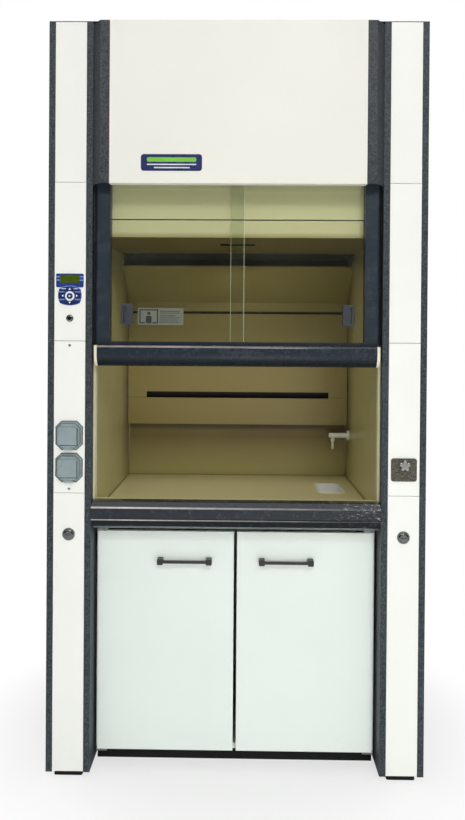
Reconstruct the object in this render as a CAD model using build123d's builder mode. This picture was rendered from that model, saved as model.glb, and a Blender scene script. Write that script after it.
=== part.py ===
from build123d import *
import os

os.makedirs("parts", exist_ok=True)

# Laboratory fume hood, 1200 mm wide module, with a counterbalanced sliding sash.
# Frame: millimetres, +X to the right, -Y to the front, +Z up.  The origin is on
# the floor under the middle of the hood.

# ------------------------------------------------------------ driving sizes
WIDTH = 1200.0
DEPTH = 900.0
ROOF = 2400.0
FRONT = -DEPTH / 2
REAR = DEPTH / 2
STEEL = 2.0
BOARD = 8.0
SEAM = 1.5
JOINT = 0.2

# posts
POST_W = 140.0
POST_D = 153.0
POST_OUT = WIDTH / 2
POST_IN = POST_OUT - POST_W
POST_MID = POST_OUT - POST_W / 2
POST_FRONT = FRONT + 35
POST_BACK = POST_FRONT + POST_D
FLANGE = 20.0
SEAT_DROP = 8.0
SEAT_W = 10.0
FOOT_H = 15.0
FRAME_TOP = ROOF - STEEL
TUBE = 30.0

# covers that close the posts, from the floor up
COVER_T = 1.5
COVER_HALF = POST_W / 2 - FLANGE - 0.75
SEAM_LOW = 905.0
SEAM_MID = 1388.0
SEAM_HIGH = 1891.0
SCREW_LEVELS = (918.0, 1374.0)
STRAP_LEVELS = (60.0, 918.0, 1374.0, 1877.0, 2360.0)
SCREW_R = 2.0

# header
HEADER_BOTTOM = 1882.0
HEADER_TOP = 2390.0
HEADER_HALF = 402.0
TRIM_FACE = 30.0

# chamber
CHAMBER_HALF = 452.0
WORK_TOP = 840.0
WORK_T = 25.0
WORK_FRONT = -370.0
LIP_TOP = 880.0
LIP_W = 20.0
AIRFOIL_HALF = 458.0
AIRFOIL_FRONT = -430.0
AIRFOIL_LOW = 800.0
AIRFOIL_T = 2.5
CEILING = 1727.0
LINER_FRONT = -355.0
LINER_BACK = 375.0
LINTEL_Y = -350.0
LINTEL_JOINT = 1782.0
LINTEL_TOP = 2000.0
LINTEL_RAIL = 1745.0
SLOT_HALF = 61.0
SLOT_Y = (-195.0, -145.0)
CEILING_REAR = 80.0
BAFFLE_Y = 332.0
BAFFLE_T = 6.0
BAFFLE_HALF = 450.0
BAFFLE_LOW = 1056.0
BAFFLE_SPLIT = 1166.0
BAFFLE_MID_TOP = 1513.0
NOTCH_HALF = 373.5
NOTCH_TOP = 1189.0
BRACKET_LEVELS = (1100.0, 1290.0, 1480.0, 1537.0)
BRACKET_X = 400.0
COLLAR_R = 125.0
COLLAR_WALL = 6.0
COLLAR_Y = 190.0
COLLAR_TOP = 2480.0
COLLAR_STEP = 2402.0

# under-bench cabinet
DOOR_FRONT = -340.0
DOOR_T = 18.0
DOOR_OUT = 450.0
DOOR_IN = 5.0
DOOR_LOW = 52.0
DOOR_HIGH = 769.0
CASE_HALF = 456.0
CASE_FRONT = -318.0
CASE_BACK = 375.0
CASE_TOP = 792.0
BASE_LOW = 50.0
KICK_Y = -290.0
KICK_T = 16.0
PIVOT_INSET = 5.0
PIN_R = 4.0
RUN = 0.05
HANDLE_X = 165.0
HANDLE_Z = 675.0
HANDLE_L = 177.0
HANDLE_SQ = 19.0
HANDLE_OUT = 30.0

# sash
SASH_FRONT = -400.0
SASH_T = 40.0
SASH_BACK = SASH_FRONT + SASH_T
SASH_HALF = 452.0
STILE = 46.0
SASH_LOW = 1314.0
SASH_HIGH = 2305.0
RAIL_TOP = 1388.0
HEAD_RAIL = 40.0
WALL = 3.0
GLASS_T = 6.0
TRACK_W = 7.0
TRACK_FRONT = -390.0
TRACK_REAR = -370.0
TRACK_DEEP = 12.0
PANE_LAP = 22.0
PANE_EDGE = SASH_HALF - STILE + 8
BAR_HALF = 440.0
BAR_FRONT = -440.0
BAR_TOP = 1376.0
BAR_LOW = 1310.0
BAR_BELLY = 1347.0
CAP_T = 9.0

# counterbalance: one closed toothed belt in each post, tied by a cross shaft
BELT_IN = 468.0
BELT_W = 16.0
BELT_T = 3.0
BELT_Y = -335.0
PITCH_R = 45.0
SHAFT_Z = 2320.0
IDLER_Z = 1280.0
SHAFT_R = 10.0
AXLE_R = 8.0
BRACKET_Z = 2150.0
WEIGHT_LOW = 1250.0
WEIGHT_H = 390.0

# fittings on the posts
SOCKET_LEVELS = {"upper": 1088.0, "lower": 986.0}
SOCKET_W = 84.0
PANEL_LOW = 1494.0
PANEL_HIGH = 1624.0
KEY_MID = 1530.0
BUTTON_Z = 1460.0
BUTTON_R = 9.0
LATCH_Z = 774.0
LATCH_R = 17.0
VALVE_Z = 988.0
KNOB_Z = 1003.0
STEM_R = 5.0


# ------------------------------------------------------------ small helpers
def block(x0, x1, y0, y1, z0, z1, mode=Mode.ADD):
    """Box between two opposite corners, in the open part."""
    with Locations(((x0 + x1) / 2, (y0 + y1) / 2, (z0 + z1) / 2)):
        Box(abs(x1 - x0), abs(y1 - y0), abs(z1 - z0), mode=mode)


def rod(axis, start, end, at, radius, mode=Mode.ADD):
    """Round bar along X, Y or Z; `at` is the place on the two other axes."""
    mid = (start + end) / 2
    centre = {"X": (mid, *at), "Y": (at[0], mid, at[1]), "Z": (*at, mid)}[axis]
    turn = {"X": (0, 90, 0), "Y": (90, 0, 0), "Z": (0, 0, 0)}[axis]
    with Locations(Location(centre, turn)):
        Cylinder(radius, abs(end - start), mode=mode)


def rect(x0, x1, y0, y1, mode=Mode.ADD):
    """Rectangle between two opposite corners, in the open sketch."""
    with Locations(((x0 + x1) / 2, (y0 + y1) / 2)):
        Rectangle(abs(x1 - x0), abs(y1 - y0), mode=mode)


def tube(x0, x1, y0, y1, z0, z1, along):
    """Square steel tube, open at both ends, in the open part."""
    inset = {axis: 0.0 if axis == along else STEEL for axis in "XYZ"}
    block(x0, x1, y0, y1, z0, z1)
    block(
        x0 + inset["X"], x1 - inset["X"],
        y0 + inset["Y"], y1 - inset["Y"],
        z0 + inset["Z"], z1 - inset["Z"],
        mode=Mode.SUBTRACT,
    )


def side_plane(x):
    """Plane across the hood: sketch x runs to the rear, sketch y runs up."""
    return Plane(origin=(x, 0, 0), x_dir=(0, 1, 0), z_dir=(1, 0, 0))


def front_plane(x, y, z=0.0):
    """Plane facing the user: sketch x runs right, sketch y runs up."""
    return Plane(origin=(x, y, z), x_dir=(1, 0, 0), z_dir=(0, -1, 0))


def save(piece, label):
    """Label a finished piece and write its STEP file."""
    piece.part.label = label
    export_step(piece.part, f"parts/{label}.step")


SIDES = (-1, 1)


# ------------------------------------------------------------ posts
def make_post(side):
    """Folded post with front flanges that step back to seat the covers."""
    with BuildPart() as post:
        with BuildSketch(Plane.XY.offset(FOOT_H)):
            for wall in (POST_IN, POST_OUT - STEEL):
                rect(side * wall, side * (wall + STEEL), POST_FRONT, POST_BACK)
            rect(side * POST_IN, side * POST_OUT, POST_BACK - STEEL, POST_BACK)
            for edge, inward in ((POST_IN, 1), (POST_OUT, -1)):
                lip = edge + inward * FLANGE
                seat = POST_FRONT + SEAT_DROP
                rect(side * edge, side * lip, POST_FRONT, POST_FRONT + STEEL)
                rect(side * (lip - inward * STEEL), side * lip, POST_FRONT, seat + STEEL)
                rect(side * lip, side * (lip + inward * SEAT_W), seat, seat + STEEL)
        extrude(amount=FRAME_TOP - FOOT_H)
        strap_y = POST_FRONT + SEAT_DROP + STEEL
        strap_half = POST_W / 2 - FLANGE + STEEL
        for level in STRAP_LEVELS:
            block(side * (POST_MID - strap_half), side * (POST_MID + strap_half),
                  strap_y, strap_y + STEEL, level - 12, level + 12)
        for level in SCREW_LEVELS:
            rod("Y", strap_y - 1, strap_y + STEEL + 1, (side * POST_MID, level), SCREW_R,
                mode=Mode.SUBTRACT)
        block(side * (POST_IN + STEEL), side * (POST_OUT - STEEL),
              strap_y, POST_BACK - STEEL, FOOT_H, FOOT_H + 4)
        # slot for the belt bracket and bore for the cross-shaft bush
        block(side * (POST_IN - 1), side * (POST_IN + STEEL + 1), SASH_FRONT - 1, SASH_FRONT + 19,
              BRACKET_Z - 445, BRACKET_Z + 115, mode=Mode.SUBTRACT)
        rod("X", side * (POST_IN - 1), side * (POST_IN + STEEL + 1), (BELT_Y, SHAFT_Z), 16,
            mode=Mode.SUBTRACT)
    return post


for side, name in ((-1, "post_frame_left"), (1, "post_frame_right")):
    save(make_post(side), name)

BENCH_RAIL = WORK_TOP - WORK_T - TUBE
TOP_RAIL = FRAME_TOP - 8 - TUBE
with BuildPart() as frame_rails:
    up_in = POST_OUT - 42
    up_y = REAR - 42
    for side in SIDES:
        x0, x1 = sorted((side * up_in, side * (up_in + TUBE)))
        tube(x0, x1, up_y, up_y + TUBE, FOOT_H, FRAME_TOP, "Z")
        for level in (60, BENCH_RAIL, TOP_RAIL):
            tube(x0, x1, POST_BACK + JOINT, up_y - JOINT, level, level + TUBE, "Y")
    reach = up_in - JOINT
    for level in (BENCH_RAIL, TOP_RAIL):
        tube(-reach, reach, up_y, up_y + TUBE, level, level + TUBE, "X")
    # cross rails between the posts: header, lintel and front of the worktop
    tube(-POST_IN, POST_IN, -320, -320 + TUBE, TOP_RAIL, TOP_RAIL + TUBE, "X")
    lintel_back = LINTEL_Y + BOARD
    tube(-POST_IN, POST_IN, lintel_back, lintel_back + TUBE, LINTEL_RAIL, LINTEL_RAIL + 2 * TUBE, "X")
    tube(-POST_IN, POST_IN, WORK_FRONT, WORK_FRONT + TUBE, BENCH_RAIL, BENCH_RAIL + TUBE, "X")
save(frame_rails, "frame_rails")

with BuildPart() as levelling_feet:
    for side in SIDES:
        block(side * (POST_MID - 45), side * (POST_MID + 45), POST_FRONT + 10, POST_BACK - 13, 0, FOOT_H)
        rod("Z", 0, FOOT_H, (side * (POST_OUT - 27), REAR - 27), 25)
    fillet(levelling_feet.edges().filter_by(Axis.Z).filter_by(GeomType.LINE), 6)
save(levelling_feet, "levelling_feet")


# ------------------------------------------------------------ outer skin
with BuildPart() as outer_panels:
    skin_top = FRAME_TOP - JOINT
    side_rear = REAR - STEEL - JOINT
    for side in SIDES:
        block(side * (POST_OUT - STEEL), side * POST_OUT, POST_BACK + JOINT, side_rear, 20, skin_top)
        block(side * (POST_OUT - 12), side * POST_OUT, side_rear - STEEL, side_rear, 20, skin_top)
    block(-POST_OUT, POST_OUT, REAR - STEEL, REAR, 20, skin_top)
    block(-POST_OUT, POST_OUT, POST_FRONT, REAR, FRAME_TOP, ROOF)
    rod("Z", FRAME_TOP - 1, ROOF + 1, (0, COLLAR_Y), COLLAR_R + 1, mode=Mode.SUBTRACT)
save(outer_panels, "outer_panels")

with BuildPart() as header_panel:
    block(-HEADER_HALF, HEADER_HALF, FRONT, FRONT + STEEL, HEADER_BOTTOM, HEADER_TOP)
    for side in SIDES:
        block(side * (HEADER_HALF - STEEL), side * HEADER_HALF, FRONT, FRONT + 25,
              HEADER_BOTTOM, HEADER_TOP)
    block(-HEADER_HALF, HEADER_HALF, FRONT, FRONT + 30, HEADER_BOTTOM, HEADER_BOTTOM + STEEL)
    block(-HEADER_HALF, HEADER_HALF, FRONT, POST_FRONT, HEADER_TOP - STEEL, HEADER_TOP)
    block(-HEADER_HALF, HEADER_HALF, POST_FRONT - STEEL, POST_FRONT, HEADER_TOP - STEEL, ROOF)
save(header_panel, "header_panel")


def add_trim(side):
    """Folded trim beside the header: flat face, slanted face, tail along the post."""
    with BuildSketch(Plane.XY.offset(HEADER_BOTTOM)) as profile:
        with BuildLine():
            Polyline(
                (side * HEADER_HALF, FRONT + 25),
                (side * HEADER_HALF, FRONT),
                (side * (HEADER_HALF + TRIM_FACE), FRONT),
                (side * POST_IN, POST_FRONT),
                (side * POST_IN, POST_FRONT + 15),
            )
            offset(amount=STEEL, side=Side.RIGHT if side < 0 else Side.LEFT, kind=Kind.INTERSECTION)
        make_face()
    return profile


with BuildPart() as header_trims:
    for side in SIDES:
        trim = add_trim(side)
        extrude(trim.sketch, amount=HEADER_TOP - HEADER_BOTTOM)
save(header_trims, "header_trims")


# ------------------------------------------------------------ post covers
def cover(side, low, high):
    """Shallow folded pan that closes one length of a post, in the open part."""
    z0 = low + SEAM / 2
    z1 = high - SEAM / 2
    seat = POST_FRONT + SEAT_DROP
    left = side * POST_MID - COVER_HALF
    right = side * POST_MID + COVER_HALF
    block(left, right, POST_FRONT, seat, z0, z1)
    block(left + COVER_T, right - COVER_T, POST_FRONT + COVER_T, seat + 1,
          z0 + COVER_T, z1 - COVER_T, mode=Mode.SUBTRACT)


def bore_front(side, level, radius):
    """Round hole through a cover's front face, in the open part."""
    rod("Y", POST_FRONT - 1, POST_FRONT + COVER_T + 1, (side * POST_MID, level), radius,
        mode=Mode.SUBTRACT)


with BuildPart() as post_covers:
    for side in SIDES:
        cover(side, SEAM_HIGH, FRAME_TOP)
        cover(side, FOOT_H + 2, SEAM_LOW)
        bore_front(side, LATCH_Z, 8 + RUN)
    cover(1, SEAM_MID, SEAM_HIGH)
save(post_covers, "post_covers")

with BuildPart() as control_cover:
    cover(-1, SEAM_MID, SEAM_HIGH)
    block(-POST_MID - 36, -POST_MID + 36, POST_FRONT - 1, POST_FRONT + COVER_T + 1,
          PANEL_LOW + 9, PANEL_HIGH - 9, mode=Mode.SUBTRACT)
    bore_front(-1, BUTTON_Z, BUTTON_R + RUN)
save(control_cover, "control_cover")

with BuildPart() as socket_cover:
    cover(-1, SEAM_LOW, SEAM_MID)
    for level in SCREW_LEVELS:
        bore_front(-1, level, SCREW_R)
    for level in SOCKET_LEVELS.values():
        block(-POST_MID - 30, -POST_MID + 30, POST_FRONT - 1, POST_FRONT + COVER_T + 1,
              level - 30, level + 30, mode=Mode.SUBTRACT)
save(socket_cover, "socket_cover")

with BuildPart() as valve_cover:
    cover(1, SEAM_LOW, SEAM_MID)
    bore_front(1, KNOB_Z, STEM_R + RUN)
save(valve_cover, "valve_cover")

with BuildPart() as cover_screws:
    for level in SCREW_LEVELS:
        rod("Y", POST_FRONT - 1.5, POST_FRONT, (-POST_MID, level), 4)
        rod("Y", POST_FRONT, POST_FRONT + 16, (-POST_MID, level), SCREW_R)
    fillet(cover_screws.edges().filter_by(GeomType.CIRCLE).group_by(Axis.Y)[0], 0.9)
save(cover_screws, "cover_screws")


# ------------------------------------------------------------ chamber liner
with BuildPart() as liner_boards:
    low = WORK_TOP - WORK_T
    high = CEILING + BOARD
    fit = CHAMBER_HALF - JOINT
    for side in SIDES:
        block(side * CHAMBER_HALF, side * POST_IN, LINER_FRONT, LINER_BACK + BOARD, low, high)
    block(-fit, fit, LINER_BACK, LINER_BACK + BOARD, low, high)
    # ceiling with its slot, then the two lintel boards behind the raised sash
    block(-fit, fit, LINTEL_Y + BOARD + JOINT, CEILING_REAR, CEILING, high)
    block(-SLOT_HALF, SLOT_HALF, *SLOT_Y, CEILING - 1, high + 1, mode=Mode.SUBTRACT)
    block(-fit, fit, LINTEL_Y, LINTEL_Y + BOARD, CEILING, LINTEL_JOINT)
    block(-fit, fit, LINTEL_Y, LINTEL_Y + BOARD, LINTEL_JOINT + 4, LINTEL_TOP)
save(liner_boards, "liner_boards")


def baffle_profile():
    """Upper baffle seen from the side: sloping board with a hanging flange."""
    with BuildSketch(side_plane(-BAFFLE_HALF)) as profile:
        with BuildLine():
            Polyline((164, 1686), (BAFFLE_Y, 1556), (BAFFLE_Y, 1518))
            offset(amount=BAFFLE_T, side=Side.LEFT, kind=Kind.INTERSECTION)
        make_face()
    return profile


with BuildPart() as baffles:
    extrude(baffle_profile().sketch, amount=2 * BAFFLE_HALF)
    rear = BAFFLE_Y + BAFFLE_T
    block(-BAFFLE_HALF, BAFFLE_HALF, BAFFLE_Y, rear, BAFFLE_SPLIT, BAFFLE_MID_TOP)
    block(-NOTCH_HALF, NOTCH_HALF, BAFFLE_Y - 1, rear + 1, BAFFLE_SPLIT - 1, NOTCH_TOP, mode=Mode.SUBTRACT)
    block(-BAFFLE_HALF, BAFFLE_HALF, BAFFLE_Y, rear, BAFFLE_LOW, BAFFLE_SPLIT - 1)
save(baffles, "baffles")

with BuildPart() as baffle_brackets:
    for side in SIDES:
        for level in BRACKET_LEVELS:
            rod("Y", BAFFLE_Y + BAFFLE_T, LINER_BACK, (side * BRACKET_X, level), 10)
        rod("X", side * BAFFLE_HALF, side * CHAMBER_HALF, (172, 1690), 16)
        rod("X", side * (BAFFLE_HALF - 6), side * BAFFLE_HALF, (158, 1702), 12)
save(baffle_brackets, "baffle_brackets")


# tapering plenum above the chamber, ending in the round duct collar
PLENUM_TOP = 2120.0
PLENUM_HEAD = 264.0


def plenum(inset, top, mode):
    """Four-sided taper from the chamber outlet to a square head, drawn in by `inset`."""
    base_front = CEILING_REAR - BOARD
    base_back = LINER_BACK + BOARD
    with BuildSketch(Plane.XY.offset(CEILING + BOARD)) as base:
        with Locations((0, (base_front + base_back) / 2)):
            Rectangle(2 * (POST_IN - inset), base_back - base_front - 2 * inset)
    with BuildSketch(Plane.XY.offset(top)) as head:
        with Locations((0, COLLAR_Y)):
            Rectangle(PLENUM_HEAD - 2 * inset, PLENUM_HEAD - 2 * inset)
    loft([base.sketch, head.sketch], mode=mode)


with BuildPart() as exhaust_cone:
    plenum(0, PLENUM_TOP, Mode.ADD)
    plenum(COLLAR_WALL, PLENUM_TOP - COLLAR_WALL, Mode.SUBTRACT)
    at = (0, COLLAR_Y)
    rod("Z", PLENUM_TOP, COLLAR_STEP, at, COLLAR_R - 1)
    rod("Z", COLLAR_STEP, COLLAR_TOP, at, COLLAR_R)
    rod("Z", PLENUM_TOP - 2 * COLLAR_WALL, COLLAR_TOP + 1, at, COLLAR_R - COLLAR_WALL,
        mode=Mode.SUBTRACT)
save(exhaust_cone, "exhaust_cone")


# ------------------------------------------------------------ worktop
CUP_X = (307.0, 395.0)
CUP_Y = (-12.0, 179.0)
CUP_R = 18.0
CUP_LOW = 690.0
TAIL_R = 20.0
TAIL_L = 60.0


def cup_outline(grow, level):
    """Rounded rectangle of the drip cup, enlarged by `grow`, at a height."""
    with BuildSketch(Plane.XY.offset(level)) as outline:
        with Locations(((CUP_X[0] + CUP_X[1]) / 2, (CUP_Y[0] + CUP_Y[1]) / 2)):
            RectangleRounded(CUP_X[1] - CUP_X[0] + 2 * grow, CUP_Y[1] - CUP_Y[0] + 2 * grow,
                             CUP_R + grow)
    return outline.sketch


with BuildPart() as worktop:
    block(-CHAMBER_HALF, CHAMBER_HALF, WORK_FRONT, LINER_BACK, WORK_TOP - WORK_T, WORK_TOP)
    block(-CHAMBER_HALF, CHAMBER_HALF, WORK_FRONT, WORK_FRONT + LIP_W, WORK_TOP, LIP_TOP)
    extrude(cup_outline(0, WORK_TOP + 1), amount=-WORK_T - 2, mode=Mode.SUBTRACT)
save(worktop, "worktop")

with BuildPart() as drip_cup:
    extrude(cup_outline(6, WORK_TOP), amount=2)
    extrude(cup_outline(0, CUP_LOW), amount=WORK_TOP - CUP_LOW)
    extrude(cup_outline(-3, CUP_LOW + 3), amount=WORK_TOP - CUP_LOW, mode=Mode.SUBTRACT)
    drain = (351.0, 83.5)
    rod("Z", CUP_LOW - TAIL_L, CUP_LOW, drain, TAIL_R)
    rod("Z", CUP_LOW - TAIL_L - 1, CUP_LOW + 4, drain, TAIL_R - 3, mode=Mode.SUBTRACT)
save(drip_cup, "drip_cup")

with BuildPart() as front_airfoil:
    with BuildSketch(side_plane(-AIRFOIL_HALF)):
        with BuildLine():
            outer = Polyline(
                (WORK_FRONT - 2, LIP_TOP), (-409, LIP_TOP), (AIRFOIL_FRONT, LIP_TOP - 21),
                (AIRFOIL_FRONT, AIRFOIL_LOW + 29), (-414, AIRFOIL_LOW), (-385, AIRFOIL_LOW),
            )
            fillet(outer.vertices().sort_by(Axis.X)[1:5], 7)
            offset(amount=AIRFOIL_T, side=Side.LEFT, kind=Kind.ARC)
        make_face()
    extrude(amount=2 * AIRFOIL_HALF)
save(front_airfoil, "front_airfoil")

SPOUT = (287.0, 1019.0)
SPOUT_END = 371.0
NOZZLE_X = 387.0
with BuildPart() as spout_arm:
    rod("X", CHAMBER_HALF - 8, CHAMBER_HALF, SPOUT, 20)
    rod("X", SPOUT_END, CHAMBER_HALF - 8, SPOUT, 10)
    fillet(spout_arm.faces().sort_by(Axis.X)[0].edges(), 5)
    rod("Z", SPOUT[1] - 12, SPOUT[1] - 4, (NOZZLE_X, SPOUT[0]), 6, mode=Mode.SUBTRACT)
save(spout_arm, "spout_arm")

with BuildPart() as hose_nozzle:
    with BuildSketch(front_plane(NOZZLE_X, SPOUT[0])):
        with BuildLine():
            top = SPOUT[1] - 5
            rim = SPOUT[1] - 13
            barb = rim - 12
            Polyline(
                (0, top), (6, top), (6, rim), (8, rim), (8, rim - 8), (4.5, barb), (6, barb),
                (4, barb - 10), (6, barb - 10), (4, barb - 20), (6, barb - 20),
                (4, barb - 30), (0, barb - 30), close=True,
            )
        make_face()
    revolve(axis=Axis((NOZZLE_X, SPOUT[0], 0), (0, 0, 1)))
save(hose_nozzle, "hose_nozzle")


# ------------------------------------------------------------ under-bench cabinet
with BuildPart() as cabinet_boards:
    inner = CASE_HALF - DOOR_T
    fit = inner - JOINT
    back = CASE_BACK - DOOR_T
    for side in SIDES:
        block(side * inner, side * CASE_HALF, CASE_FRONT, CASE_BACK, 0, CASE_TOP)
        block(side * (inner - 1), side * (CASE_HALF + 1), CASE_FRONT - 1, KICK_Y + KICK_T,
              -1, BASE_LOW, mode=Mode.SUBTRACT)
    block(-fit, fit, CASE_FRONT, back - JOINT, BASE_LOW, BASE_LOW + DOOR_T)
    block(-fit, fit, back, CASE_BACK, BASE_LOW, CASE_TOP)
    block(-fit, fit, CASE_FRONT, CASE_FRONT + 70, CASE_TOP - DOOR_T, CASE_TOP)
save(cabinet_boards, "cabinet_boards")

with BuildPart() as kick_plate:
    block(-CASE_HALF, CASE_HALF, KICK_Y, KICK_Y + KICK_T, 0, BASE_LOW)
save(kick_plate, "kick_plate")

PIVOT_X = DOOR_OUT - PIVOT_INSET
PIVOT_Y = DOOR_FRONT + PIVOT_INSET
HINGE_T = 3.0
with BuildPart() as door_hinges:
    for side in SIDES:
        outer_x = side * (PIVOT_X + 8)
        board_x = side * (CASE_HALF - DOOR_T)
        inner_x = side * (CASE_HALF - DOOR_T - 20)
        for low in (BASE_LOW - HINGE_T, CASE_TOP - DOOR_T - HINGE_T):
            block(outer_x, inner_x, PIVOT_Y - 5, CASE_FRONT, low, low + HINGE_T)
            block(board_x, inner_x, CASE_FRONT, CASE_FRONT + 25, low, low + HINGE_T)
        at = (side * PIVOT_X, PIVOT_Y)
        rod("Z", BASE_LOW, DOOR_LOW + 12, at, PIN_R)
        rod("Z", DOOR_HIGH - 12, CASE_TOP - DOOR_T - HINGE_T, at, PIN_R)
save(door_hinges, "door_hinges")


def make_door(side):
    """Cabinet door with a pin hole in its top and bottom edge."""
    with BuildPart() as door:
        block(side * DOOR_IN, side * DOOR_OUT, DOOR_FRONT, DOOR_FRONT + DOOR_T, DOOR_LOW, DOOR_HIGH)
        fillet(door.faces().sort_by(Axis.Y)[0].edges(), 1.5)
        at = (side * PIVOT_X, PIVOT_Y)
        rod("Z", DOOR_LOW - 1, DOOR_LOW + 14, at, PIN_R + RUN, mode=Mode.SUBTRACT)
        rod("Z", DOOR_HIGH - 14, DOOR_HIGH + 1, at, PIN_R + RUN, mode=Mode.SUBTRACT)
    return door


def make_handle(side):
    """Bow handle: two square posts and a thinner bar."""
    with BuildPart() as handle:
        mid = side * HANDLE_X
        reach = HANDLE_L / 2
        outer_y = DOOR_FRONT - HANDLE_OUT
        for end in SIDES:
            block(mid + end * (reach - HANDLE_SQ), mid + end * reach, outer_y, DOOR_FRONT,
                  HANDLE_Z - HANDLE_SQ / 2, HANDLE_Z + HANDLE_SQ / 2)
        fillet(handle.edges().filter_by(Axis.Y), 3)
        fillet(handle.faces().sort_by(Axis.Y)[0:2].edges(), 1.5)
        block(mid - reach + HANDLE_SQ / 2, mid + reach - HANDLE_SQ / 2, outer_y + 2, outer_y + 11,
              HANDLE_Z - 4.5, HANDLE_Z + 4.5)
    return handle


for side, name in ((-1, "left"), (1, "right")):
    save(make_door(side), f"door_{name}")
    save(make_handle(side), f"handle_{name}")


# ------------------------------------------------------------ sash
def track(side, centre_y, mode=Mode.SUBTRACT):
    """Groove for one pane: along the bottom rail, up one stile and along the head rail."""
    inner = SASH_HALF - STILE
    y0 = centre_y - TRACK_W / 2
    y1 = centre_y + TRACK_W / 2
    low = RAIL_TOP - TRACK_DEEP
    high = SASH_HIGH - HEAD_RAIL + TRACK_DEEP + 3
    block(-side * inner, side * (inner + 9), y0, y1, low, high, mode=mode)


with BuildPart() as sash_frame:
    block(-SASH_HALF, SASH_HALF, SASH_FRONT, SASH_BACK, SASH_LOW, SASH_HIGH)
    fillet(sash_frame.faces().sort_by(Axis.Y)[0].edges().filter_by(Axis.Z), 8)
    inner = SASH_HALF - STILE
    block(-inner, inner, SASH_FRONT - 1, SASH_BACK + 1, RAIL_TOP, SASH_HIGH - HEAD_RAIL,
          mode=Mode.SUBTRACT)
    # hollow sections: both stiles run through, the two rails open into them
    for side in SIDES:
        block(side * (inner + 12), side * (SASH_HALF - WALL), SASH_FRONT + WALL, SASH_BACK - WALL,
              SASH_LOW + WALL, SASH_HIGH + 1, mode=Mode.SUBTRACT)
    block(-inner - 13, inner + 13, SASH_FRONT + WALL, SASH_BACK - WALL,
          SASH_LOW + WALL, RAIL_TOP - TRACK_DEEP - WALL, mode=Mode.SUBTRACT)
    block(-inner - 13, inner + 13, SASH_FRONT + WALL, SASH_BACK - WALL,
          SASH_HIGH - HEAD_RAIL + TRACK_DEEP + 6, SASH_HIGH - WALL, mode=Mode.SUBTRACT)
    track(-1, TRACK_FRONT)
    track(1, TRACK_REAR)
    # guide ribs that run in the grooves of the sash guides
    for side in SIDES:
        for z0 in (SASH_LOW + 20, SASH_HIGH - 70):
            block(side * SASH_HALF, side * (SASH_HALF + 4), -370.5, -363.5, z0, z0 + 50)
save(sash_frame, "sash_frame")


def bar_profile(x):
    """Handle bar seen from the side: flat top, round nose, lower face curling back."""
    with BuildSketch(side_plane(x)) as profile:
        with BuildLine():
            nose = BAR_TOP - 10
            start = Line((SASH_FRONT, BAR_TOP), (BAR_FRONT + 10, BAR_TOP))
            ThreePointArc(start @ 1, (BAR_FRONT + 2.93, BAR_TOP - 2.93), (BAR_FRONT, nose))
            face = Line((BAR_FRONT, nose), (BAR_FRONT, BAR_BELLY))
            belly = TangentArc(face @ 1, (-412, BAR_LOW), tangent=(0, -1))
            Polyline(belly @ 1, (-388, BAR_LOW), (-388, SASH_LOW), (SASH_FRONT, SASH_LOW),
                     (SASH_FRONT, BAR_TOP))
        make_face()
    return profile


with BuildPart() as sash_handle:
    outline = bar_profile(-BAR_HALF)
    extrude(outline.sketch, amount=2 * BAR_HALF)
    with BuildSketch(side_plane(-BAR_HALF)):
        with BuildLine():
            Polyline((SASH_FRONT - WALL, BAR_TOP - WALL), (BAR_FRONT + 9, BAR_TOP - WALL),
                     (BAR_FRONT + WALL, BAR_TOP - 12), (BAR_FRONT + WALL, BAR_BELLY - 2),
                     (BAR_FRONT + 10, BAR_BELLY - 20),
                     (-414, SASH_LOW + WALL), (SASH_FRONT - WALL, SASH_LOW + WALL), close=True)
        make_face()
    extrude(amount=2 * BAR_HALF, mode=Mode.SUBTRACT)
save(sash_handle, "sash_handle")

with BuildPart() as sash_end_caps:
    for x in (-BAR_HALF - CAP_T, BAR_HALF):
        outline = bar_profile(x)
        extrude(outline.sketch, amount=CAP_T)
    fillet(sash_end_caps.faces().sort_by(Axis.X)[0].edges(), 1.5)
    fillet(sash_end_caps.faces().sort_by(Axis.X)[-1].edges(), 1.5)
save(sash_end_caps, "sash_end_caps")

GRIP_Z = (1440.0, 1508.0)
GRIP_W = 38.0
GRIP_T = 11.0


def make_pane(side, centre_y):
    """Sliding glass pane, running in one of the sash tracks."""
    with BuildPart() as pane:
        block(side * PANE_EDGE, -side * PANE_LAP, centre_y - GLASS_T / 2, centre_y + GLASS_T / 2,
              RAIL_TOP - TRACK_DEEP + 0.5, SASH_HIGH - HEAD_RAIL + 8)
    return pane


def make_pull(outer_x, side, centre_y):
    """Finger pull bonded to a pane, with a vertical finger groove near its outer edge."""
    with BuildPart() as pull:
        face_y = centre_y - GLASS_T / 2 - GRIP_T
        block(outer_x, outer_x - side * GRIP_W, face_y, face_y + GRIP_T, *GRIP_Z)
        fillet(pull.edges().filter_by(Axis.Y), 6)
        fillet(pull.faces().sort_by(Axis.Y)[0].edges(), 2)
        block(outer_x - side * 8, outer_x - side * 16, face_y - 1, face_y + 7,
              GRIP_Z[0] + 8, GRIP_Z[1] - 8, mode=Mode.SUBTRACT)
    return pull


for side, name, centre_y, outer_x in (
    (-1, "left", TRACK_FRONT, -370.0),
    (1, "right", TRACK_REAR, 376.0),
):
    save(make_pane(side, centre_y), f"pane_{name}")
    save(make_pull(outer_x, side, centre_y), f"pull_{name}")

with BuildPart() as sash_guides:
    for side in SIDES:
        block(side * (SASH_HALF + 0.5), side * POST_IN, -380, -356, LIP_TOP, FRAME_TOP - 3)
        block(side * (SASH_HALF + 0.4), side * (SASH_HALF + 4.5), -371, -363,
              LIP_TOP - 1, FRAME_TOP, mode=Mode.SUBTRACT)
save(sash_guides, "sash_guides")


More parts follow.
